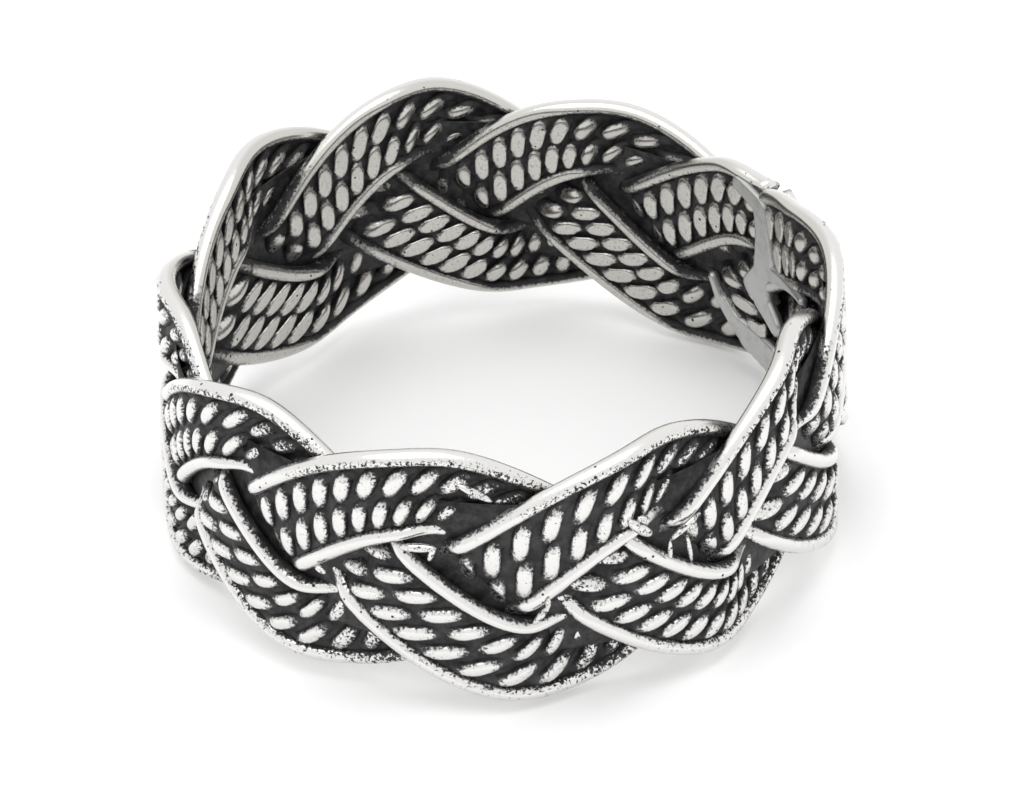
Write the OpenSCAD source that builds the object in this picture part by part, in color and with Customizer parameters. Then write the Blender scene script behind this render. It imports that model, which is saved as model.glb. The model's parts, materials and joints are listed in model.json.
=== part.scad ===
// Braided band ring: three flat strands, each of two ropes between two plain edge wires,
// plaited into a band, rolled flat, bent round and soldered at one joint.
// Millimetres. The ring stands on its lower edge, its axis is +Z and its front is -Y.

/* [Band] */
// Inside diameter, a US size 7 1/2
bore_d = 17.75; // [16:0.05:20.5]
// Height of the band, from its lowest wire to its highest
band_w = 8.2; // [8:0.1:8.8]
// Lobes of the plait that fit along each edge; the joint cuts off the rest of the last one
lobes = 9.47; // [9:0.01:10]
// Clear space between two strands where they cross
cross_gap = 0.15; // [0.1:0.01:0.18]

/* [Strand] */
// Width of a strand, over its edge wires
strand_w = 2.76; // [2.5:0.01:2.8]
// Thickness of a strand where it is rolled down over another
strand_t = 0.58; // [0.4:0.01:0.7]
// Thickness of a strand where it lies alone, at the edge of the band
lobe_t = 0.7; // [0.58:0.01:0.8]
// How deep the inside of the band is polished away
polish = 0.07; // [0.02:0.01:0.1]
// How gently a strand changes layer between two crossings in the middle of the band
crossing_ease = 0.2; // [0.1:0.05:0.3]
// How gently it changes layer at the edge of the band, where it turns back
lobe_ease = 0.7; // [0.4:0.1:1]

/* [Plaited by hand] */
// Angle of one top lobe from the front, towards the right
lobe_angle = -13.9; // [-30:0.1:30]

/* [Joint] */
// Angle of the soldered joint from the front, towards the right
joint_angle = 118; // [60:1:150]
// Clear space between the cut ends of the strands
joint_gap = 0.08; // [0.04:0.01:0.2]
// Width of the web of solder across the inside of the joint
solder_w = 1.3; // [0.8:0.1:2]
// Thickness of the web
solder_t = 0.16; // [0.1:0.01:0.25]
// Clear space between the web and the strands it lies in
solder_gap = 0.04; // [0.02:0.01:0.08]
// How far the strands are filed clear of the web past its sides
solder_margin = 0.45; // [0.3:0.05:0.8]
// How far from the joint the insides of the strands are filed instead of polished
filed_w = 2.4; // [1.5:0.1:3]
// How far the web stays back from the edges of the band
solder_inset = 0.15; // [0.1:0.05:0.4]

/* [Hidden] */

STRANDS = 3;
BORE_FN = 180;
// Rings in the sweep of one strand, and how many of them turn towards each cut end
RINGS = 94;
END_RINGS = 7;
// Steps that find where a line of a strand meets the joint
STEPS = 8;
// Half of a strand's section, from its edge to its middle, as shares of half its width and
// half its thickness: an edge wire, a groove, a rope, and half of the groove between the ropes
SECTION = [
    // across, thick
    [1.00, 0.00],
    [0.95, 0.66],
    [0.85, 0.86],
    [0.70, 0.48],
    [0.55, 0.82],
    [0.34, 1.00],
    [0.12, 0.80],
    [0.00, 0.45],
];

// Waves round the ring in which the hand work varies: how far it pushes the plait along the
// band, in degrees, how far it lifts the foot and the top of the band, in millimetres, and the
// angle from the front where each is greatest
HAND_WORK = [
    // waves, push, push_at, foot, foot_at, top, top_at
    [1, 2.5, 238, 0.00, 0, 0.00, 0],
    [2, 0.9, 159, 0.15, 3, 0.16, 38],
    [3, 1.9, 23, 0.26, 72, 0.34, 86],
];

half_w = strand_w / 2;
bore_r = bore_d / 2;
layer = strand_t + cross_gap;
mid_r = bore_r - polish + strand_t / 2 + layer / 2;
wave_h = (band_w - strand_w) / 2;
wave_turn = 360 * STRANDS / lobes;
lobe_turn = 360 / lobes;
end_turn = in_degrees(joint_gap / 2);
solder_turn = in_degrees(solder_w / 2);
joint_even = 2 * joint_angle - pushed(joint_angle);

// The upper row of section points from edge to edge, then the lower row back
last_row = len(SECTION) - 1;
upper = concat(SECTION, [for (i = [last_row - 1:-1:0]) [-SECTION[i][0], SECTION[i][1]]]);
upper_n = len(upper);
loop = concat(upper, [for (i = [upper_n - 2:-1:1]) [upper[i][0], -upper[i][1]]]);
loop_n = len(loop);

function in_degrees(length) = length / mid_r * 180 / PI;

// The sum of one pair of columns of the hand work, a size and where it is greatest
function hand_sum(angle, column, i = 0) =
    i == len(HAND_WORK) ? 0
    : HAND_WORK[i][column] * cos(HAND_WORK[i][0] * (angle - HAND_WORK[i][column + 1]))
        + hand_sum(angle, column, i + 1);

// The hand work pushes an evenly spaced angle along the band, and a height up or down
function pushed(angle) = angle + hand_sum(angle, 1);
function lifted(angle, z) =
    z + (1 - z / band_w) * hand_sum(angle, 3) + z / band_w * hand_sum(angle, 5);

// A strand's wave: its phase is 0 in the middle of the band on the way up, 90 at the top edge
function slope(phase) = atan2(wave_h * cos(phase), mid_r * STRANDS / lobes);

// The layer that a strand lies in: 1 is the outer one, -1 the inner one
function weave(phase) =
    let (
        wave = sin(2 * phase),
        ease = crossing_ease + (lobe_ease - crossing_ease) * sin(phase) ^ 2
    )
    wave * sqrt((1 + ease ^ 2) / (ease ^ 2 + wave ^ 2));

// Half of a strand's thickness: the middle of the band is rolled flatter than its edges
function half_t(phase) = (strand_t + (lobe_t - strand_t) * sin(phase) ^ 6) / 2;

function even_angle(start, phase, across) =
    start + phase * wave_turn / 360 - in_degrees(across * half_w * sin(slope(phase)));

function strand_z(phase, across) =
    band_w / 2 + wave_h * sin(phase) + across * half_w * cos(slope(phase));

// How far a place at an even angle is round the band from the joint
function from_joint(even) = min(abs(even - joint_even), abs(even - joint_even + 360));

// Least radius of a strand near the joint, where its inside is filed down before it is soldered:
// clear of the web beside the cut ends, and clear of the finger hole a little further on
function filed_r(even) =
    from_joint(even) < solder_turn + in_degrees(solder_margin) ? bore_r + solder_t + solder_gap
    : from_joint(even) < in_degrees(filed_w) ? bore_r + solder_gap / 4
    : 0;

function strand_point(start, phase, across, thick) =
    let (
        even = even_angle(start, phase, across),
        angle = pushed(even),
        r = max(mid_r + layer / 2 * weave(phase) + thick * half_t(phase), filed_r(even))
    )
    [r * sin(angle), -r * cos(angle), lifted(even, strand_z(phase, across))];

// Phase at which the line at one place across a strand reaches an even angle
function phase_at(start, angle, across, guess = 0, step = 0) =
    let (missing = angle - even_angle(start, guess, across))
    step == STEPS ? guess
    : phase_at(start, angle, across, guess + missing * 360 / wave_turn, step + 1);

function wave_start(number) = lobe_angle - wave_turn / 4 + (number - 1) * lobe_turn;

// Triangles that close one end of a sweep, between its upper and lower rows
function end_cap(ring, turned) = [
    for (i = [0:upper_n - 2])
        let (
            a = ring * loop_n + i,
            b = a + 1,
            c = ring * loop_n + (loop_n - i - 1) % loop_n,
            d = ring * loop_n + (loop_n - i) % loop_n
        )
        for (f = [[a, b, c], [a, c, d]])
            if (f[0] != f[1] && f[1] != f[2] && f[2] != f[0]) turned ? [f[2], f[1], f[0]] : f
];

// The finger hole, polished out of the inside of the band
module finger_bore() {
    translate([0, 0, -bore_r]) cylinder(r = bore_r, h = band_w + bore_d, $fn = BORE_FN);
}

// The points of one strand, once round the ring, with both ends cut flat at the joint
function strand_points(number) =
    let (
        start = wave_start(number),
        first = joint_even - 360 + end_turn,
        last = joint_even - end_turn,
        first_phase = phase_at(start, first, 0),
        last_phase = phase_at(start, last, 0)
    )
    [
        for (ring = [0:RINGS - 1], p = loop)
            let (
                near_first = max(0, 1 - ring / END_RINGS),
                near_last = max(0, 1 - (RINGS - 1 - ring) / END_RINGS),
                phase = first_phase + (last_phase - first_phase) * ring / (RINGS - 1)
                    + near_first * (phase_at(start, first, p[0]) - first_phase)
                    + near_last * (phase_at(start, last, p[0]) - last_phase)
            )
            strand_point(start, phase, p[0], p[1])
    ];

module strand(number) {
    sides = [
        for (ring = [0:RINGS - 2], i = [0:loop_n - 1])
            let (a = ring * loop_n + i, b = ring * loop_n + (i + 1) % loop_n)
            each [[a, b + loop_n, b], [a, a + loop_n, b + loop_n]]
    ];
    difference() {
        polyhedron(strand_points(number), concat(sides, end_cap(0, false), end_cap(RINGS - 1, true)));
        finger_bore();
    }
}

// Height of one edge of the band at one side of the web, -1 or 1: up is 1 for the upper edge.
// The strands run from one side of the joint right round to the other.
function edge_z(side, up) =
    let (angle = side < 0 ? joint_even - solder_turn : joint_even - 360 + solder_turn)
    up * max([
        for (i = [1:STRANDS])
            up * lifted(angle, strand_z(phase_at(wave_start(i), angle, up), up))
    ]);

// A stretch of wall across the joint, as high as the web and grown all round by a clearance
module across_joint(from_r, to_r, grow = 0) {
    top = min(edge_z(-1, 1), edge_z(1, 1)) - solder_inset;
    foot = max(edge_z(-1, -1), edge_z(1, -1)) + solder_inset;
    turn = solder_turn + in_degrees(grow);
    from = pushed(joint_even - turn);
    to = pushed(joint_even + turn);
    rotate([0, 0, from - 90])
        rotate_extrude(angle = to - from, $fn = BORE_FN)
            translate([from_r, foot - grow])
                square([to_r - from_r, top - foot + 2 * grow]);
}

// The web of solder on the inside of the joint, flush with the bore
module solder_web() {
    across_joint(bore_r, bore_r + solder_t);
}

// Sets the ring down on its lowest lobe
module set_down() {
    lowest = min([for (i = [1:STRANDS], p = strand_points(i)) p[2]]);
    translate([0, 0, -lowest]) children();
}

module strand_1() { color("silver") set_down() strand(1); }
module strand_2() { color("silver") set_down() strand(2); }
module strand_3() { color("silver") set_down() strand(3); }
module solder_seam() { color("gainsboro") set_down() solder_web(); }

strand_1();
strand_2();
strand_3();
solder_seam();
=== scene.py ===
"""A braided band ring in oxidised silver, standing by itself on a white sweep.

Three flat strands are plaited into a band, rolled flat, bent round and soldered at one joint.
Each strand is two twisted ropes between two plain edge wires. The band was blackened and then
tumbled, so the high places are bright and the low ones are nearly black.
"""

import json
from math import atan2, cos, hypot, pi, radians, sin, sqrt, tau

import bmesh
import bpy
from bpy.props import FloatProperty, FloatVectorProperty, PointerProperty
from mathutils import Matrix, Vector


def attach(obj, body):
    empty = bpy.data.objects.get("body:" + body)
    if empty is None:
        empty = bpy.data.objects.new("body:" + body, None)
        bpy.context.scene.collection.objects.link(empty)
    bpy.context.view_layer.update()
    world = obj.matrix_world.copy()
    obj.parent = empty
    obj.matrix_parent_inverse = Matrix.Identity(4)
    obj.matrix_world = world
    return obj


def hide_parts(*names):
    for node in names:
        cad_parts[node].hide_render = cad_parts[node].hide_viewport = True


bl_info = {
    "name": "Braided band ring",
    "version": (1, 0, 0),
    "blender": (4, 5, 0),
    "location": "View3D > Sidebar > Ring",
    "description": "Models the wires, the solder and the studio of a braided silver band ring",
    "category": "Add Mesh",
}

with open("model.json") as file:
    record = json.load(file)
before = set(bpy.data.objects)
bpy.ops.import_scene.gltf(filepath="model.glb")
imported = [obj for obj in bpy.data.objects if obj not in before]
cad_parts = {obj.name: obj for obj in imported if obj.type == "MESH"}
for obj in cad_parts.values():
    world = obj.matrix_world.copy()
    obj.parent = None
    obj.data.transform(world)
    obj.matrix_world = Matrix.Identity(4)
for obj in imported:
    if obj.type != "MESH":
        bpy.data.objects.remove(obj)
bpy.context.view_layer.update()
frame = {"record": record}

MM = 0.001
BODY = "root"
STRANDS = 3


def finger_bore_radius():
    """Radius of the finger hole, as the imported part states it."""
    mounts = frame["record"]["mounts"]
    return next(mount["dims"]["r_mm"] for mount in mounts if mount["name"] == "finger_bore") * MM


def linear(colour):
    """Linear RGBA of an sRGB hex colour."""
    channels = [int(colour[i : i + 2], 16) / 255 for i in (1, 3, 5)]
    return [c / 12.92 if c <= 0.04045 else ((c + 0.055) / 1.055) ** 2.4 for c in channels] + [1.0]


def length(name, description, default):
    """A length property, in metres."""
    return FloatProperty(
        name=name, description=description, default=default, min=0, precision=5,
        subtype="DISTANCE", unit="LENGTH",
    )


def angle(name, description, degrees):
    """An angle property, given in degrees."""
    return FloatProperty(
        name=name, description=description, default=radians(degrees), subtype="ANGLE", unit="ROTATION",
    )


def colour(name, description, default):
    """A colour property, given as an sRGB hex value."""
    return FloatVectorProperty(
        name=name, description=description, default=linear(default), size=4, min=0, max=1, subtype="COLOR",
    )


class RingBand(bpy.types.PropertyGroup):
    """The plait: where its strands run round the ring."""

    bore_r: length("Finger hole", "Radius of the finger hole", finger_bore_radius())
    band_w: length("Band", "Height of the band, apart from the hand work", 8.1 * MM)
    lobes: FloatProperty(
        name="Lobes", description="Lobes of the plait that fit along each edge", default=9.47, min=9, max=10,
    )
    cross_gap: length("Crossing gap", "Clear space between two strands where they cross", 0.13 * MM)
    polish: length("Inner polish", "How deep the inside of the band is polished away", 0.07 * MM)
    crossing_ease: FloatProperty(
        name="Crossing ease", description="How gently a strand changes layer in the middle of the band",
        default=0.2, min=0.1, max=0.3,
    )
    lobe_ease: FloatProperty(
        name="Lobe ease", description="How gently it changes layer where it turns back at the edge",
        default=0.7, min=0.4, max=1,
    )
    lobe_at: angle("First lobe", "Angle of one top lobe from the front", -13.9)
    flare: length("Flare", "How much further out the foot of the ring is than its top", 0.28 * MM)
    joint_at: angle("Joint", "Angle of the soldered joint from the front", 118)
    joint_gap: length("Joint gap", "Clear space between the cut ends of the strands", 0.02 * MM)
    bend_down: length("Bent down", "How far the top of the left cut ends was bent down to meet", 0.5 * MM)
    bend_up: length("Bent up", "How far the top of the right cut ends was bent up to meet", 0.36 * MM)
    bend_over: angle("Bent over", "How far round the ring from the joint the ends were bent", 14)


# Waves round the ring in which the hand work varies: how far it pushes the plait along the band,
# in degrees, how far it lifts the foot and the top of the band, in millimetres, and where most
HAND_WORK = (
    # waves, push, push_at, foot, foot_at, top, top_at
    (1, 2.5, 238, 0.00, 0, 0.00, 0),
    (2, 0.9, 159, 0.15, 3, 0.16, 38),
    (3, 1.9, 23, 0.26, 72, 0.34, 86),
)


def hand_sum(angle, column):
    """The sum of one pair of columns of the hand work: a size and where it is greatest."""
    return sum(row[column] * cos(row[0] * (angle - radians(row[column + 1]))) for row in HAND_WORK)


class RingStrand(bpy.types.PropertyGroup):
    """The wires that make up one strand."""

    strand_w: length("Strand width", "Width of a strand, over its edge wires", 2.78 * MM)
    widened: FloatProperty(
        name="Widened", description="How much wider a strand is in the middle of the band, as a share of it",
        default=0.086, min=0, max=0.2,
    )
    strand_t: length("Strand thickness", "Thickness where a strand is rolled down over another", 0.58 * MM)
    lobe_t: length("Lobe thickness", "Thickness of a strand where it lies alone at the edge", 0.7 * MM)
    edge_w: length("Edge wire width", "Width of a plain edge wire after rolling", 0.44 * MM)
    edge_t: length("Edge wire thickness", "Thickness of a plain edge wire after rolling", 0.50 * MM)
    rope_at: length("Rope place", "From the middle of a strand to the middle of a rope", 0.47 * MM)
    rope_turn_r: length("Rope turn", "How far a ply runs from the middle of its rope", 0.30 * MM)
    ply_w: length("Ply width", "Width of one ply, cut square across it", 0.43 * MM)
    lay: length("Lay", "Length along a rope in which its plies turn once", 1.6 * MM)
    uneven: FloatProperty(
        name="Uneven lay", description="How much the lay changes along a rope, as a share of it",
        default=0.12, min=0, max=0.3,
    )
    uneven_length: length("Uneven over", "Length along a rope over which its lay changes to and fro", 11 * MM)


class RingFinish(bpy.types.PropertyGroup):
    """The blackening, the wear, and the greyer silver painted on the inside of the band as shade."""

    bright: colour("Bright silver", "Tumbled silver on the high places", "#DDDCDA")
    # Painted shade: the inner silver is greyer than the bright silver, standing in for the dimmer light and
    # reflections inside the band
    inner: colour("Inner silver", "Duller silver on the inside of the band", "#C8C6C1")
    solder: colour("Solder", "Silver solder, greyer than the wire", "#C2C2C1")
    black: colour("Black", "Oxide at the bottom of the grooves", "#212122")
    grey: colour("Grey", "Oxide where it is rubbed thin", "#434344")
    rope_reach: length("Rope wear", "How far down from its crest a rope is bright", 0.108 * MM)
    edge_reach: length("Edge wire wear", "How far down from its crest an edge wire is bright", 0.13 * MM)
    inner_reach: length("Inner wear", "How far out from the finger hole the metal is bright", 0.045 * MM)
    crest_flat: length("Flat crests", "How much of each crest is worn flat", 0.028 * MM)
    fill_w: length("Fill height", "Height of the solder that fills the holes of the plait", 5.0 * MM)
    fill_t: length("Fill thickness", "Thickness of that solder", 0.06 * MM)


class RingStage(bpy.types.PropertyGroup):
    """The white sweep, its light and the camera."""

    camera_far: length("Camera distance", "Distance of the camera from the point it looks at", 133 * MM)
    camera_up: angle("Camera elevation", "How steeply the camera looks down", 36.64)
    camera_roll: angle("Camera roll", "How far the camera leans", -2.49)
    look_x: FloatProperty(
        name="Look to the right", description="How far right of the ring's axis the camera looks",
        default=0.262 * MM, precision=5, subtype="DISTANCE", unit="LENGTH",
    )
    look_z: length("Look height", "Height of the point that the camera looks at", 3.68 * MM)
    lens: FloatProperty(
        name="Lens", description="Focal length on a full-frame sensor, in mm", default=159.68, min=10,
    )
    floor: colour("Sweep", "White paper under the ring", "#FBFBFB")
    sweep_w: length("Sweep width", "Width of the white paper", 1.2)
    sky: FloatProperty(name="Tent light", description="Strength of the white tent", default=1.12, min=0)
    softbox_w: length("Softbox width", "Width of the round softbox overhead", 160 * MM)
    softbox_up: length("Softbox height", "Height of the softbox over the paper", 160 * MM)
    softbox_power: FloatProperty(
        name="Softbox power", description="Power of the softbox, in watts", default=0.10, min=0,
    )


def smooth(value, low, high):
    """0 below low, 1 above high and an even curve between them."""
    share = min(max((value - low) / (high - low), 0), 1)
    return share * share * (3 - 2 * share)


# The search for the plait's lowest place: steps in a radian of phase, and steps each way
STEPS_PER_RADIAN = 50
LOW_STEPS = 600

# Rounds in which the phase at an angle is found
PHASE_ROUNDS = 8


class Plait:
    """Where the strands of the band run, worked out from its sizes. The ring's axis is +Z, its front -Y."""

    def __init__(self, band, strand):
        self.band = band
        self.bore_r = band.bore_r
        self.half_w = strand.strand_w / 2
        self.widened = strand.widened
        self.rolled_t = strand.strand_t / 2
        self.lone_t = strand.lobe_t / 2
        self.layer = strand.strand_t + band.cross_gap
        self.mid_r = band.bore_r - band.polish + (strand.strand_t + self.layer) / 2
        self.wave_h = (band.band_w - strand.strand_w) / 2
        self.run = self.mid_r * STRANDS / band.lobes
        self.lobe_turn = tau / band.lobes
        self.wave_turn = self.lobe_turn * STRANDS
        joint = 2 * band.joint_at - self.pushed(band.joint_at)
        end_turn = band.joint_gap / 2 / self.mid_r
        self.ends = (joint - tau + end_turn, joint - end_turn)
        self.lowest = 0
        self.lowest = min(
            self.point(number, step / STEPS_PER_RADIAN, -self.half_w, self.mid_r).z
            for number in range(STRANDS) for step in range(-LOW_STEPS, LOW_STEPS)
        )

    def pushed(self, even):
        """Angle to which hand work pushed an evenly spaced one."""
        return even + radians(hand_sum(even, 1))

    def lifted(self, even, height):
        """Height to which hand work pushed an even one."""
        share = height / self.band.band_w
        return height + ((1 - share) * hand_sum(even, 3) + share * hand_sum(even, 5)) * MM

    def slope(self, phase):
        """How steeply a strand rises."""
        return atan2(self.wave_h * cos(phase), self.run)

    def weave(self, phase):
        """1 where a strand lies in the outer layer, -1 in the inner one."""
        band = self.band
        wave = sin(2 * phase)
        ease = band.crossing_ease + (band.lobe_ease - band.crossing_ease) * sin(phase) ** 2
        return wave * sqrt((1 + ease**2) / (ease**2 + wave**2))

    def run_per_radian(self, phase):
        """Length of a strand's middle line in one radian of its phase."""
        return hypot(self.run, self.wave_h * cos(phase))

    def start(self, number):
        """Even angle at which strand number 0, 1 or 2 crosses the middle of the band on its way up."""
        return self.band.lobe_at - self.wave_turn / 4 + number * self.lobe_turn

    def even_angle(self, number, phase, across):
        """Even angle of a place across a strand, in metres from its middle."""
        turn = phase * self.wave_turn / tau - self.rolled(phase, across) * sin(self.slope(phase)) / self.mid_r
        return self.start(number) + turn

    def phase_at(self, number, even, across):
        """Phase at which a line along a strand reaches an even angle."""
        phase = 0
        for _ in range(PHASE_ROUNDS):
            phase += (even - self.even_angle(number, phase, across)) * tau / self.wave_turn
        return phase

    def half_t(self, phase):
        """Half of a strand's thickness, which is rolled flatter in the middle of the band."""
        return self.rolled_t + (self.lone_t - self.rolled_t) * sin(phase) ** 6

    def middle_r(self, phase):
        """Radius of the middle of a strand's thickness."""
        return self.mid_r + self.layer / 2 * self.weave(phase)

    def rolled(self, phase, across):
        """A place across a strand once the rolling has widened it in the middle of the band."""
        return across * (1 + self.widened * cos(phase) ** 2)

    def point(self, number, phase, across, radius):
        """A point beside a strand's middle line, at a radius from the ring's axis."""
        even = self.even_angle(number, phase, across)
        aside = self.rolled(phase, across) * cos(self.slope(phase))
        return self.at(even, self.band.band_w / 2 + self.wave_h * sin(phase) + aside, radius)

    def bent(self, turned, height):
        """How far the cut ends were bent down or up to meet, most at the top of the band."""
        band = self.band
        past = (turned - band.joint_at + pi) % tau - pi
        most = -band.bend_down if past > 0 else band.bend_up
        return most * max(height / band.band_w, 0) ** 2 * (1 - smooth(abs(past), 0, band.bend_over))

    def flared(self, turned, height, radius):
        """A point at an angle and height, on the ring's slight taper."""
        radius += self.band.flare * (0.5 - height / self.band.band_w)
        return Vector((radius * sin(turned), -radius * cos(turned), height))

    def at(self, even, height, radius):
        """A point at an even angle and height, pushed, lifted and bent by the hand work."""
        turned = self.pushed(even)
        point = self.flared(turned, height, radius)
        point.z = self.lifted(even, height) + self.bent(turned, height) - self.lowest
        return point


def sweep(bm, rings, sides, place):
    """Adds a closed tube: place(ring share, angle round it) gives each point and its layer values."""
    made = bmesh.ops.create_grid(bm, x_segments=rings, y_segments=sides, size=0.5)["verts"]
    layers = [bm.verts.layers.float[name] for name in LAYERS]
    seam = []
    for vert in made:
        share = vert.co.x + 0.5
        around = (vert.co.y + 0.5) * tau
        if abs(vert.co.y) > 0.4999:
            seam.append(vert)
            around = 0
        vert.co, values = place(share, around)
        for layer, value in zip(layers, values):
            vert[layer] = value
    bmesh.ops.remove_doubles(bm, verts=seam, dist=0.0001 * MM)


# Rings along each wire, and sides round it
EDGE_RINGS = 420
EDGE_SIDES = 14
PLY_RINGS = 920
PLY_SIDES = 16
CORE_RINGS = 300
CORE_SIDES = 10

# The share of a rope's thickness that its plies gain by turning about it
ROPE_TURN = 0.45

# How much wider and thicker the inner half of a ply is, which is hammered flat on the mandrel
INNER_PLY = 1.2

# The core's thickness as a share of its strand's, and how far in millimetres it stays back from
# the finger hole
CORE_T = 0.3
CORE_BACK = 0.08

# A depth below the bright metal, in millimetres, that no grit reaches up from
NEVER_BRIGHT = -1

# How much longer the lay of each strand's ropes is than the usual one, as a share of it
LAY_CHANGES = (-0.07, 0.07, 0.01)

# What each vertex of a strand knows, in millimetres: how far it stands above the edge of the
# bright metal, how ragged that edge is there, and whether it faces the finger
LAYERS = ("bright_mm", "ragged_mm", "inner_side")


# Degrees of phase between which the wear of a strand comes and goes, from where it crosses the
# middle of the band
OUTER_COMES = (-25, 8)
OUTER_GOES = (85, 150)
INNER_COMES = (40, 95)
INNER_GOES = (-5, 25)

# How far the edge of the bright metal moves from the most rubbed places to the least rubbed ones,
# as a share of its reach
OUTER_SPAN = 1.3
INNER_SPAN = 1.5

# How ragged that edge is, in millimetres: inside, outside, and what it gains where a strand dives
RAGGED_INSIDE = 0.02
RAGGED_OUTSIDE = 0.04
RAGGED_DIVING = 0.13

# The rims of the band, in millimetres: how bright they are kept, how dark an edge wire is where it
# is no rim, and how bright and how ragged the flank of a rim is
RIM_REACH = 0.16
NO_RIM = -0.05
FLANK_BRIGHT = 0.05
FLANK_LOSS = 0.15
FLANK_RAGGED = 0.10

# How much of its raggedness the flank of a lower rim has, which was tumbled more
LOWER_FLANK = 0.45


def from_crossing(phase):
    """Degrees of phase from the nearest crossing, between -40 and 140."""
    return (phase / pi * 180 + 40) % 180 - 40


def outer_wear(phase):
    """1 where a strand stands proud outside, 0 where it dives under its neighbour."""
    along = from_crossing(phase)
    return smooth(along, *OUTER_COMES) * (1 - smooth(along, *OUTER_GOES))


def inner_wear(phase):
    """1 where a strand stands proud inside, 0 where it lies behind its neighbour."""
    along = from_crossing(phase)
    return smooth(along, *INNER_COMES) if along > 0 else 1 - smooth(along, *INNER_GOES)


class StrandMaker:
    """Sweeps the wires of one strand into a bmesh."""

    def __init__(self, bm, plait, strand, finish, number):
        self.bm = bm
        self.plait = plait
        self.strand = strand
        self.finish = finish
        self.number = number

    def line(self, across, rings):
        """Phase and length so far at each ring of a line along the strand."""
        first, last = (self.plait.phase_at(self.number, end, across) for end in self.plait.ends)
        phases = [first + (last - first) * i / rings for i in range(rings + 1)]
        step = (last - first) / rings
        lengths = [0]
        for phase in phases[1:]:
            lengths.append(lengths[-1] + step * self.plait.run_per_radian(phase - step / 2))
        return phases, lengths

    def finished(self, phase, across, radius, reach, rim):
        """A point worn flat inside and outside, and its layer values.

        reach is how far down from its crest the wire is bright, and rim how bright the edge of the
        band keeps it.
        """
        plait = self.plait
        finish = self.finish
        middle = plait.middle_r(phase)
        half_t = plait.half_t(phase)
        radius = min(radius, middle + half_t - finish.crest_flat)
        radius = max(radius, plait.bore_r)
        wear_out = outer_wear(phase)
        wear_in = inner_wear(phase)
        outside = radius - (middle + half_t) + reach * (1 + OUTER_SPAN * (wear_out - 1))
        inner_face = max(middle - half_t, plait.bore_r)
        inside = inner_face + finish.inner_reach * (1 + INNER_SPAN * (wear_in - 1)) - radius
        bright = max(outside, inside, rim)
        # Marks the metal that faces the finger, which takes the greyer inner silver as painted shade
        facing_in = 1 if radius < middle else 0
        ragged = RAGGED_INSIDE if inside > outside else RAGGED_OUTSIDE + RAGGED_DIVING * (1 - wear_out)
        return plait.point(self.number, phase, across, radius), (bright / MM, ragged, facing_in)

    def edge_wire(self, side):
        """One plain wire along the edge of the strand."""
        plait = self.plait
        strand = self.strand
        middle = side * (plait.half_w - strand.edge_w / 2)
        phases, _ = self.line(middle, EDGE_RINGS)
        flatter = 1 - strand.edge_t / strand.strand_t

        def place(share, around):
            phase = phases[round(share * EDGE_RINGS)]
            across = middle + strand.edge_w / 2 * cos(around)
            half_t = plait.half_t(phase)
            radius = plait.middle_r(phase) + half_t * (1 - flatter) * sin(around)
            reach = self.finish.edge_reach + half_t * flatter
            at_rim = smooth(side * sin(phase), 0.35, 0.75)
            edgeways = side * cos(around)
            rim = ((edgeways + 0.05) * RIM_REACH * at_rim + NO_RIM * (1 - at_rim)) * MM
            point, (bright, ragged, facing_in) = self.finished(phase, across, radius, reach, rim)
            flank = at_rim * smooth(sin(around), -0.1, 0.3) * (1 - smooth(edgeways, 0.1, 0.75))
            flank *= 1 if side > 0 else LOWER_FLANK
            bright = min(bright, FLANK_BRIGHT + FLANK_LOSS * (1 - flank))
            return point, (bright, ragged + FLANK_RAGGED * flank, facing_in)

        sweep(self.bm, EDGE_RINGS, EDGE_SIDES, place)

    def ply(self, side, turned):
        """One of the two plies of a rope, cut square across its own slanting run."""
        plait = self.plait
        strand = self.strand
        middle = side * strand.rope_at
        phases, lengths = self.line(middle, PLY_RINGS)
        lay = strand.lay * (1 + LAY_CHANGES[self.number])
        sway = strand.uneven * strand.uneven_length / lay

        def place(share, around):
            ring = round(share * PLY_RINGS)
            run = lengths[ring]
            twist = turned - tau * run / lay - sway * sin(tau * run / strand.uneven_length + self.number)
            slant = atan2(strand.rope_turn_r * tau / lay * sin(twist), 1)
            wider = INNER_PLY if sin(around) < 0 else 1
            aside = strand.ply_w / 2 * wider * cos(around)
            phase = phases[ring] - aside * sin(slant) / plait.run_per_radian(phases[ring])
            across = middle + strand.rope_turn_r * cos(twist) + aside * cos(slant)
            swell = plait.half_t(phase) * wider * (ROPE_TURN * sin(twist) + (1 - ROPE_TURN) * sin(around))
            radius = plait.middle_r(phase) + swell
            return self.finished(phase, across, radius, self.finish.rope_reach, NEVER_BRIGHT * MM)

        sweep(self.bm, PLY_RINGS, PLY_SIDES, place)

    def core(self):
        """The blackened metal at the bottom of the grooves, which the wires were soldered with."""
        plait = self.plait
        phases, _ = self.line(0, CORE_RINGS)

        def place(share, around):
            phase = phases[round(share * CORE_RINGS)]
            across = (plait.half_w - self.strand.edge_w / 2) * cos(around)
            radius = plait.middle_r(phase) + CORE_T * plait.half_t(phase) * sin(around)
            radius = max(radius, plait.bore_r + CORE_BACK * MM)
            return plait.point(self.number, phase, across, radius), (NEVER_BRIGHT, 0, 0)

        sweep(self.bm, CORE_RINGS, CORE_SIDES, place)


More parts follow.
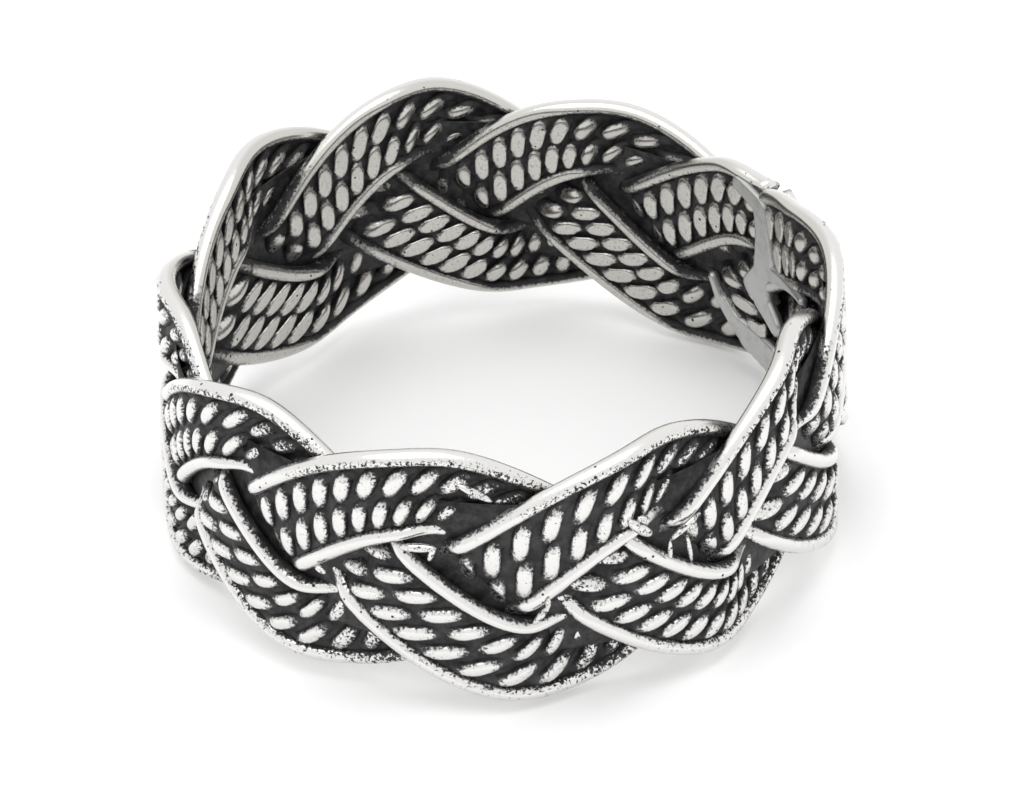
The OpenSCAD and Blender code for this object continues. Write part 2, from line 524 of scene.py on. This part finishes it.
# Burrs and drops of solder on the outside of the strands: from one place to another, each an
# angle from the front in degrees and a height in millimetres, with a thickness in millimetres
BURRS = (
    # strand, angle, height, to_angle, to_height, thick
    (1, -7.4, 8.00, -2.6, 7.52, 0.22),
    (1, -17.0, 5.76, -11.8, 5.84, 0.26),
    (1, -11.8, 5.84, -12.6, 5.45, 0.18),
    (1, -32.0, 4.36, -30.7, 4.27, 0.20),
    (2, 19.5, 6.15, 22.6, 5.60, 0.34),
    (2, 21.0, 6.20, 22.4, 6.05, 0.24),
    (2, 3.4, 3.29, 5.6, 3.75, 0.20),
    (2, 5.6, 3.75, 5.8, 4.05, 0.16),
    (2, 26.4, 5.16, 31.6, 5.64, 0.20),
    (3, 26.1, 5.08, 26.1, 4.53, 0.14),
    (3, 29.2, 5.07, 29.9, 4.18, 0.14),
)


# What each vertex of a burr knows, in the order of LAYERS
BURR_WEAR = (0.05, 0.07, 0)


def burrs(bm, plait, number):
    """The burrs and drops of one strand, each a stretched ball half sunk in the wires."""
    layers = [bm.verts.layers.float[name] for name in LAYERS]
    crest_r = plait.mid_r + plait.layer / 2 + plait.rolled_t
    for strand, start, low, end, high, thick in BURRS:
        if strand != number:
            continue
        first = plait.flared(radians(start), low * MM, crest_r)
        last = plait.flared(radians(end), high * MM, crest_r)
        along = last - first
        turn = along.to_track_quat("X", "Z").to_matrix().to_4x4()
        half = thick / 2 * MM
        stretch = Matrix.Diagonal((along.length / 2 + half * 2 / 3, half, half, 1))
        ball = bmesh.ops.create_uvsphere(
            bm, u_segments=16, v_segments=10, radius=1,
            matrix=Matrix.Translation((first + last) / 2) @ turn @ stretch,
        )["verts"]
        for vert in ball:
            for layer, value in zip(layers, BURR_WEAR):
                vert[layer] = value


def fill_band(bm, plait, finish):
    """A thin wall between the two layers of the plait, which closes the holes between the strands."""
    grid = bmesh.ops.create_grid(bm, x_segments=240, y_segments=4, size=0.5)["verts"]
    for vert in grid:
        even = plait.ends[0] + (vert.co.x + 0.5) * tau
        vert.co = plait.at(even, plait.band.band_w / 2 + vert.co.y * finish.fill_w, plait.mid_r)
    bmesh.ops.solidify(bm, geom=bm.faces[:], thickness=finish.fill_t)


# The web of solder that was filed smooth on the inside of the joint: capsules from one place to
# another, each an angle from the front in degrees, a height and a half width in millimetres
SOLDER_RUNS = (
    # angle, height, half_w, to_angle, to_height, to_half_w
    (124.6, 7.35, 0.28, 117.5, 7.10, 0.36),
    (117.5, 7.10, 0.36, 116.6, 6.20, 0.42),
    (116.6, 6.20, 0.42, 116.4, 5.50, 0.52),
    (116.4, 5.50, 0.50, 118.0, 4.60, 0.40),
    (118.0, 4.60, 0.40, 121.3, 3.90, 0.42),
    (118.5, 4.30, 0.40, 118.2, 3.60, 0.45),
    (118.2, 3.60, 0.45, 113.5, 3.10, 0.34),
    (117.0, 4.85, 0.30, 110.8, 5.12, 0.25),
    (110.8, 5.12, 0.25, 104.9, 5.38, 0.16),
    (104.9, 5.38, 0.16, 97.0, 5.75, 0.10),
    (133.6, 3.20, 0.12, 131.8, 2.55, 0.16),
    (131.8, 2.55, 0.16, 127.5, 2.00, 0.32),
    (127.5, 2.00, 0.32, 123.0, 1.70, 0.52),
    (123.0, 1.70, 0.52, 115.0, 1.60, 0.60),
)


# The patch of wall that the web is cut from: angles from the front in degrees, foot, height and
# thickness in millimetres, and squares along each side
WEB_FROM = 93
WEB_TO = 136
WEB_FOOT = 0.9
WEB_H = 6.9
WEB_T = 0.1
WEB_SQUARES = 150

# How far the web stands into the finger hole and how far the patch sinks round it, over how much
# of its edge, in millimetres
WEB_PROUD = 0.02
WEB_SINK = 0.16
WEB_EDGE = (-0.04, 0.05)
WEB_BARE = -0.06


def solder_cover(plait, turned, height):
    """How far a place on the finger hole lies inside the web of solder, in millimetres."""
    deepest = -1
    bore_mm = plait.bore_r / MM
    for start, low, half_w, end, high, to_half_w in SOLDER_RUNS:
        along = Vector((radians(end - start) * bore_mm, high - low))
        place = Vector(((turned - radians(start)) * bore_mm, height / MM - low))
        share = min(max(place.dot(along) / along.length_squared, 0), 1)
        half = half_w + (to_half_w - half_w) * share
        deepest = max(deepest, half - (place - share * along).length)
    return deepest


def solder_web(bm, plait):
    """A skin over the inside of the joint, which comes up to the finger hole inside the web's outline."""
    bmesh.ops.create_grid(bm, x_segments=WEB_SQUARES, y_segments=WEB_SQUARES, size=0.5)
    cover_mm = bm.verts.layers.float["cover_mm"]
    for vert in bm.verts:
        turned = radians(WEB_FROM + (vert.co.x + 0.5) * (WEB_TO - WEB_FROM))
        height = (WEB_FOOT + (vert.co.y + 0.5) * WEB_H) * MM
        vert[cover_mm] = solder_cover(plait, turned, height)
        sunk = WEB_SINK * (1 - smooth(vert[cover_mm], *WEB_EDGE)) - WEB_PROUD
        vert.co = plait.flared(turned, height, plait.bore_r + sunk * MM)
    bare = [face for face in bm.faces if all(vert[cover_mm] < WEB_BARE for vert in face.verts)]
    bmesh.ops.delete(bm, geom=bare, context="FACES")
    bmesh.ops.solidify(bm, geom=bm.faces[:], thickness=-WEB_T * MM)


def finished_piece(bm, name, material, slot, *nodes):
    """Turns a bmesh into a smooth piece that rides on the ring and stands for CAD nodes."""
    bmesh.ops.holes_fill(bm, edges=[edge for edge in bm.edges if edge.is_boundary], sides=0)
    bmesh.ops.recalc_face_normals(bm, faces=bm.faces)
    for face in bm.faces:
        face.smooth = True
    mesh = bpy.data.meshes.new(name)
    bm.to_mesh(mesh)
    bm.free()
    mesh.materials.append(material)
    piece = bpy.data.objects.new(name, mesh)
    bpy.context.scene.collection.objects.link(piece)
    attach(piece, BODY)
    if nodes:
        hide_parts(*nodes)
    return piece


def add(tree, kind, settings, inputs):
    """Adds a node with its settings. An input is a value, or the output of another node."""
    node = tree.nodes.new("ShaderNode" + kind)
    for key, value in settings.items():
        setattr(node, key, value)
    for key, value in inputs.items():
        if isinstance(value, bpy.types.NodeSocket):
            tree.links.new(value, node.inputs[key])
        else:
            node.inputs[key].default_value = value
    return node


def new_material(name):
    """An empty material and its node tree."""
    material = bpy.data.materials.new(name)
    material.use_nodes = True
    material.node_tree.nodes.clear()
    return material, material.node_tree


def oxidised_sterling_silver(finish):
    """Sterling silver blackened in liver of sulphur and then tumbled.

    It gives the eye white metal on the crests, cut off at a ragged edge with black pits, and
    charcoal with a mottled bloom in every groove.
    """
    material, tree = new_material("oxidised_sterling_silver")
    place = add(tree, "TexCoord", {}, {}).outputs["Object"]
    bright_mm = add(tree, "Attribute", {"attribute_name": "bright_mm"}, {}).outputs["Fac"]
    ragged_mm = add(tree, "Attribute", {"attribute_name": "ragged_mm"}, {}).outputs["Fac"]
    inner_side = add(tree, "Attribute", {"attribute_name": "inner_side"}, {}).outputs["Fac"]
    # Grit that the tumbling left, a grain of about 0.1 mm
    grit = add(tree, "TexNoise", {}, {
        "Vector": place, "Scale": 1 / (0.10 * MM), "Detail": 3.0, "Roughness": 0.7,
    })
    grit_out = add(tree, "MapRange", {}, {
        "Value": grit.outputs["Fac"], "From Min": 0.35, "From Max": 0.6, "To Min": -1.6, "To Max": 0.7,
    })
    shift = add(tree, "Math", {"operation": "MULTIPLY"}, {0: grit_out.outputs["Result"], 1: ragged_mm})
    edge = add(tree, "Math", {"operation": "ADD"}, {0: bright_mm, 1: shift.outputs[0]})
    shine = add(tree, "MapRange", {}, {"Value": edge.outputs[0], "From Min": -0.03, "From Max": 0.03})
    # Pits of up to 0.1 mm, few and far between
    pits = add(tree, "TexVoronoi", {}, {"Vector": place, "Scale": 1 / (0.22 * MM), "Randomness": 1.0})
    pit_pick = add(tree, "SeparateColor", {}, {"Color": pits.outputs["Color"]})
    pit_size = add(tree, "MapRange", {}, {
        "Value": pit_pick.outputs["Red"], "From Min": 0.85, "From Max": 1.0, "To Min": 0.0, "To Max": 0.22,
    })
    pit_edge = add(tree, "Math", {"operation": "SUBTRACT"}, {
        0: pits.outputs["Distance"], 1: pit_size.outputs["Result"],
    })
    sound = add(tree, "MapRange", {}, {"Value": pit_edge.outputs[0], "From Min": 0.0, "From Max": 0.06})
    metal = add(tree, "Math", {"operation": "MULTIPLY"}, {
        0: shine.outputs["Result"], 1: sound.outputs["Result"],
    })
    # The bloom on the oxide, clouds of about half a millimetre
    bloom = add(tree, "TexNoise", {}, {
        "Vector": place, "Scale": 1 / (0.45 * MM), "Detail": 5.0, "Roughness": 0.65,
    })
    bloom_out = add(tree, "MapRange", {}, {"Value": bloom.outputs["Fac"], "From Min": 0.42, "From Max": 0.72})
    oxide = add(tree, "Mix", {"data_type": "RGBA"}, {
        "Factor": bloom_out.outputs["Result"], 6: finish.black, 7: finish.grey,
    })
    # Metal that faces the finger takes the greyer inner silver: painted shade for the dimmer light inside the
    # band
    silver = add(tree, "Mix", {"data_type": "RGBA"}, {
        "Factor": inner_side, 6: finish.bright, 7: finish.inner,
    })
    skin = add(tree, "Mix", {"data_type": "RGBA"}, {
        "Factor": metal.outputs[0], 6: oxide.outputs[2], 7: silver.outputs[2],
    })
    dull = add(tree, "MapRange", {}, {"Value": metal.outputs[0], "To Min": 0.55, "To Max": 0.22})
    gloss = add(tree, "MapRange", {}, {"Value": metal.outputs[0], "To Min": 0.25, "To Max": 0.5})
    grain = add(tree, "Bump", {}, {"Strength": 0.25, "Distance": 0.02 * MM, "Height": grit.outputs["Fac"]})
    shader = add(tree, "BsdfPrincipled", {}, {
        "Base Color": skin.outputs[2], "Metallic": metal.outputs[0], "Roughness": dull.outputs["Result"],
        "Specular IOR Level": gloss.outputs["Result"], "Normal": grain.outputs["Normal"],
    })
    add(tree, "OutputMaterial", {}, {"Surface": shader.outputs["BSDF"]})
    return material


def blackened_solder(finish):
    """Solder under the same oxide: lumpy charcoal with a faint sheen and a mottled bloom."""
    material, tree = new_material("blackened_solder")
    place = add(tree, "TexCoord", {}, {}).outputs["Object"]
    # Lumps of about 0.3 mm
    lumps = add(tree, "TexNoise", {}, {
        "Vector": place, "Scale": 1 / (0.3 * MM), "Detail": 5.0, "Roughness": 0.65,
    })
    bloom = add(tree, "MapRange", {}, {"Value": lumps.outputs["Fac"], "From Min": 0.4, "From Max": 0.7})
    skin = add(tree, "Mix", {"data_type": "RGBA"}, {
        "Factor": bloom.outputs["Result"], 6: finish.black, 7: finish.grey,
    })
    bumps = add(tree, "Bump", {}, {"Strength": 0.5, "Distance": 0.06 * MM, "Height": lumps.outputs["Fac"]})
    shader = add(tree, "BsdfPrincipled", {}, {
        "Base Color": skin.outputs[2], "Roughness": 0.45, "Specular IOR Level": 0.25,
        "Normal": bumps.outputs["Normal"],
    })
    add(tree, "OutputMaterial", {}, {"Surface": shader.outputs["BSDF"]})
    return material


def filed_solder(finish):
    """Silver solder filed and rubbed smooth: a plain satin grey, duller than the wires it joins."""
    material, tree = new_material("filed_solder")
    place = add(tree, "TexCoord", {}, {}).outputs["Object"]
    cover_mm = add(tree, "Attribute", {"attribute_name": "cover_mm"}, {}).outputs["Fac"]
    # Stains of about 0.35 mm
    stains = add(tree, "TexNoise", {}, {
        "Vector": place, "Scale": 1 / (0.35 * MM), "Detail": 4.0, "Roughness": 0.6,
    })
    stained = add(tree, "MapRange", {}, {
        "Value": stains.outputs["Fac"], "From Min": 0.5, "From Max": 0.75, "To Max": 0.25,
    })
    skin = add(tree, "Mix", {"data_type": "RGBA"}, {
        "Factor": stained.outputs["Result"], 6: finish.solder, 7: finish.grey,
    })
    # Oxide in the corner where the web meets the strands
    clean = add(tree, "MapRange", {}, {"Value": cover_mm, "From Min": -0.03, "From Max": 0.02})
    edged = add(tree, "Mix", {"data_type": "RGBA"}, {
        "Factor": clean.outputs["Result"], 6: finish.black, 7: skin.outputs[2],
    })
    shader = add(tree, "BsdfPrincipled", {}, {
        "Base Color": edged.outputs[2], "Metallic": clean.outputs["Result"], "Roughness": 0.42,
    })
    add(tree, "OutputMaterial", {}, {"Surface": shader.outputs["BSDF"]})
    return material


class RING_OT_strands(bpy.types.Operator):
    """Models the three strands of the band, with their ropes and edge wires"""

    bl_idname = "ring.strands"
    bl_label = "Strands"

    def execute(self, context):
        scene = context.scene
        plait = Plait(scene.ring_band, scene.ring_strand)
        material = oxidised_sterling_silver(scene.ring_finish)
        for number in range(STRANDS):
            bm = bmesh.new()
            for name in LAYERS:
                bm.verts.layers.float.new(name)
            maker = StrandMaker(bm, plait, scene.ring_strand, scene.ring_finish, number)
            maker.core()
            for side in (-1, 1):
                maker.edge_wire(side)
                for turned in (0, pi):
                    maker.ply(side, turned)
            burrs(bm, plait, number + 1)
            node = f"strand_{number + 1}"
            finished_piece(bm, "plaited_" + node, material, "strand_silver", node)
        return {"FINISHED"}


class RING_OT_solder(bpy.types.Operator):
    """Models the solder that joins the band and fills its small holes"""

    bl_idname = "ring.solder"
    bl_label = "Solder"

    def execute(self, context):
        scene = context.scene
        plait = Plait(scene.ring_band, scene.ring_strand)
        bm = bmesh.new()
        fill_band(bm, plait, scene.ring_finish)
        finished_piece(bm, "plait_fill", blackened_solder(scene.ring_finish), "solder_silver")
        bm = bmesh.new()
        bm.verts.layers.float.new("cover_mm")
        solder_web(bm, plait)
        finished_piece(bm, "solder_web", filed_solder(scene.ring_finish), "solder_silver", "solder_seam")
        return {"FINISHED"}


class RING_OT_stage(bpy.types.Operator):
    """Lays the white sweep and sets the light and the camera"""

    bl_idname = "ring.stage"
    bl_label = "Stage"

    def execute(self, context):
        stage = context.scene.ring_stage
        self.lay_floor(stage)
        self.light(context.scene, stage)
        self.place_camera(context.scene, stage)
        return {"FINISHED"}

    def lay_floor(self, stage):
        """The white paper under the ring."""
        bm = bmesh.new()
        bmesh.ops.create_grid(bm, x_segments=1, y_segments=1, size=stage.sweep_w / 2)
        mesh = bpy.data.meshes.new("sweep")
        bm.to_mesh(mesh)
        bm.free()
        material, tree = new_material("white_paper")
        shader = add(tree, "BsdfPrincipled", {}, {"Base Color": stage.floor, "Roughness": 0.9})
        add(tree, "OutputMaterial", {}, {"Surface": shader.outputs["BSDF"]})
        mesh.materials.append(material)
        floor = bpy.data.objects.new("sweep", mesh)
        bpy.context.scene.collection.objects.link(floor)

    def light(self, scene, stage):
        """A white tent all round, and a softbox overhead."""
        world = bpy.data.worlds.new("white_tent")
        world.use_nodes = True
        world.node_tree.nodes["Background"].inputs["Color"].default_value = (1, 1, 1, 1)
        world.node_tree.nodes["Background"].inputs["Strength"].default_value = stage.sky
        scene.world = world
        lamp = bpy.data.lights.new("top_softbox", "AREA")
        lamp.shape = "DISK"
        lamp.size = stage.softbox_w
        lamp.energy = stage.softbox_power
        softbox = bpy.data.objects.new("top_softbox", lamp)
        softbox.location = (-20 * MM, -10 * MM, stage.softbox_up)
        scene.collection.objects.link(softbox)

    def place_camera(self, scene, stage):
        """The camera that the photograph was taken with, as far as its picture tells."""
        data = bpy.data.cameras.new("camera")
        data.lens = stage.lens
        data.sensor_width = 36
        data.clip_start = 1 * MM
        camera = bpy.data.objects.new("camera", data)
        look = Vector((0, cos(stage.camera_up), -sin(stage.camera_up)))
        right = Vector((1, 0, 0))
        up = right.cross(look)
        turned = (cos(stage.camera_roll) * right + sin(stage.camera_roll) * up).normalized()
        axes = Matrix((turned, turned.cross(look), -look)).transposed()
        camera.matrix_world = Matrix.Translation(
            Vector((stage.look_x, 0, stage.look_z)) - look * stage.camera_far
        ) @ axes.to_4x4()
        scene.collection.objects.link(camera)
        scene.camera = camera
        scene.view_settings.view_transform = "Standard"
        scene.view_settings.look = "None"


class RING_PT_sidebar(bpy.types.Panel):
    """Lists the ring's operators, each above the sizes and colours that it uses"""

    bl_label = "Braided band ring"
    bl_space_type = "VIEW_3D"
    bl_region_type = "UI"
    bl_category = "Ring"

    def draw(self, context):
        scene = context.scene
        for operator, groups in (
            ("ring.strands", (scene.ring_band, scene.ring_strand)),
            ("ring.solder", (scene.ring_finish,)),
            ("ring.stage", (scene.ring_stage,)),
        ):
            box = self.layout.box()
            box.operator(operator)
            for group in groups:
                for name in group.__annotations__:
                    box.prop(group, name)


CLASSES = (
    RingBand, RingStrand, RingFinish, RingStage,
    RING_OT_strands, RING_OT_solder, RING_OT_stage, RING_PT_sidebar,
)


def register():
    for cls in CLASSES:
        bpy.utils.register_class(cls)
    bpy.types.Scene.ring_band = PointerProperty(type=RingBand)
    bpy.types.Scene.ring_strand = PointerProperty(type=RingStrand)
    bpy.types.Scene.ring_finish = PointerProperty(type=RingFinish)
    bpy.types.Scene.ring_stage = PointerProperty(type=RingStage)


def unregister():
    del bpy.types.Scene.ring_stage
    del bpy.types.Scene.ring_finish
    del bpy.types.Scene.ring_strand
    del bpy.types.Scene.ring_band
    for cls in reversed(CLASSES):
        bpy.utils.unregister_class(cls)


def main():
    register()
    bpy.ops.ring.strands()
    bpy.ops.ring.solder()
    bpy.ops.ring.stage()


if __name__ == "__main__":
    main()
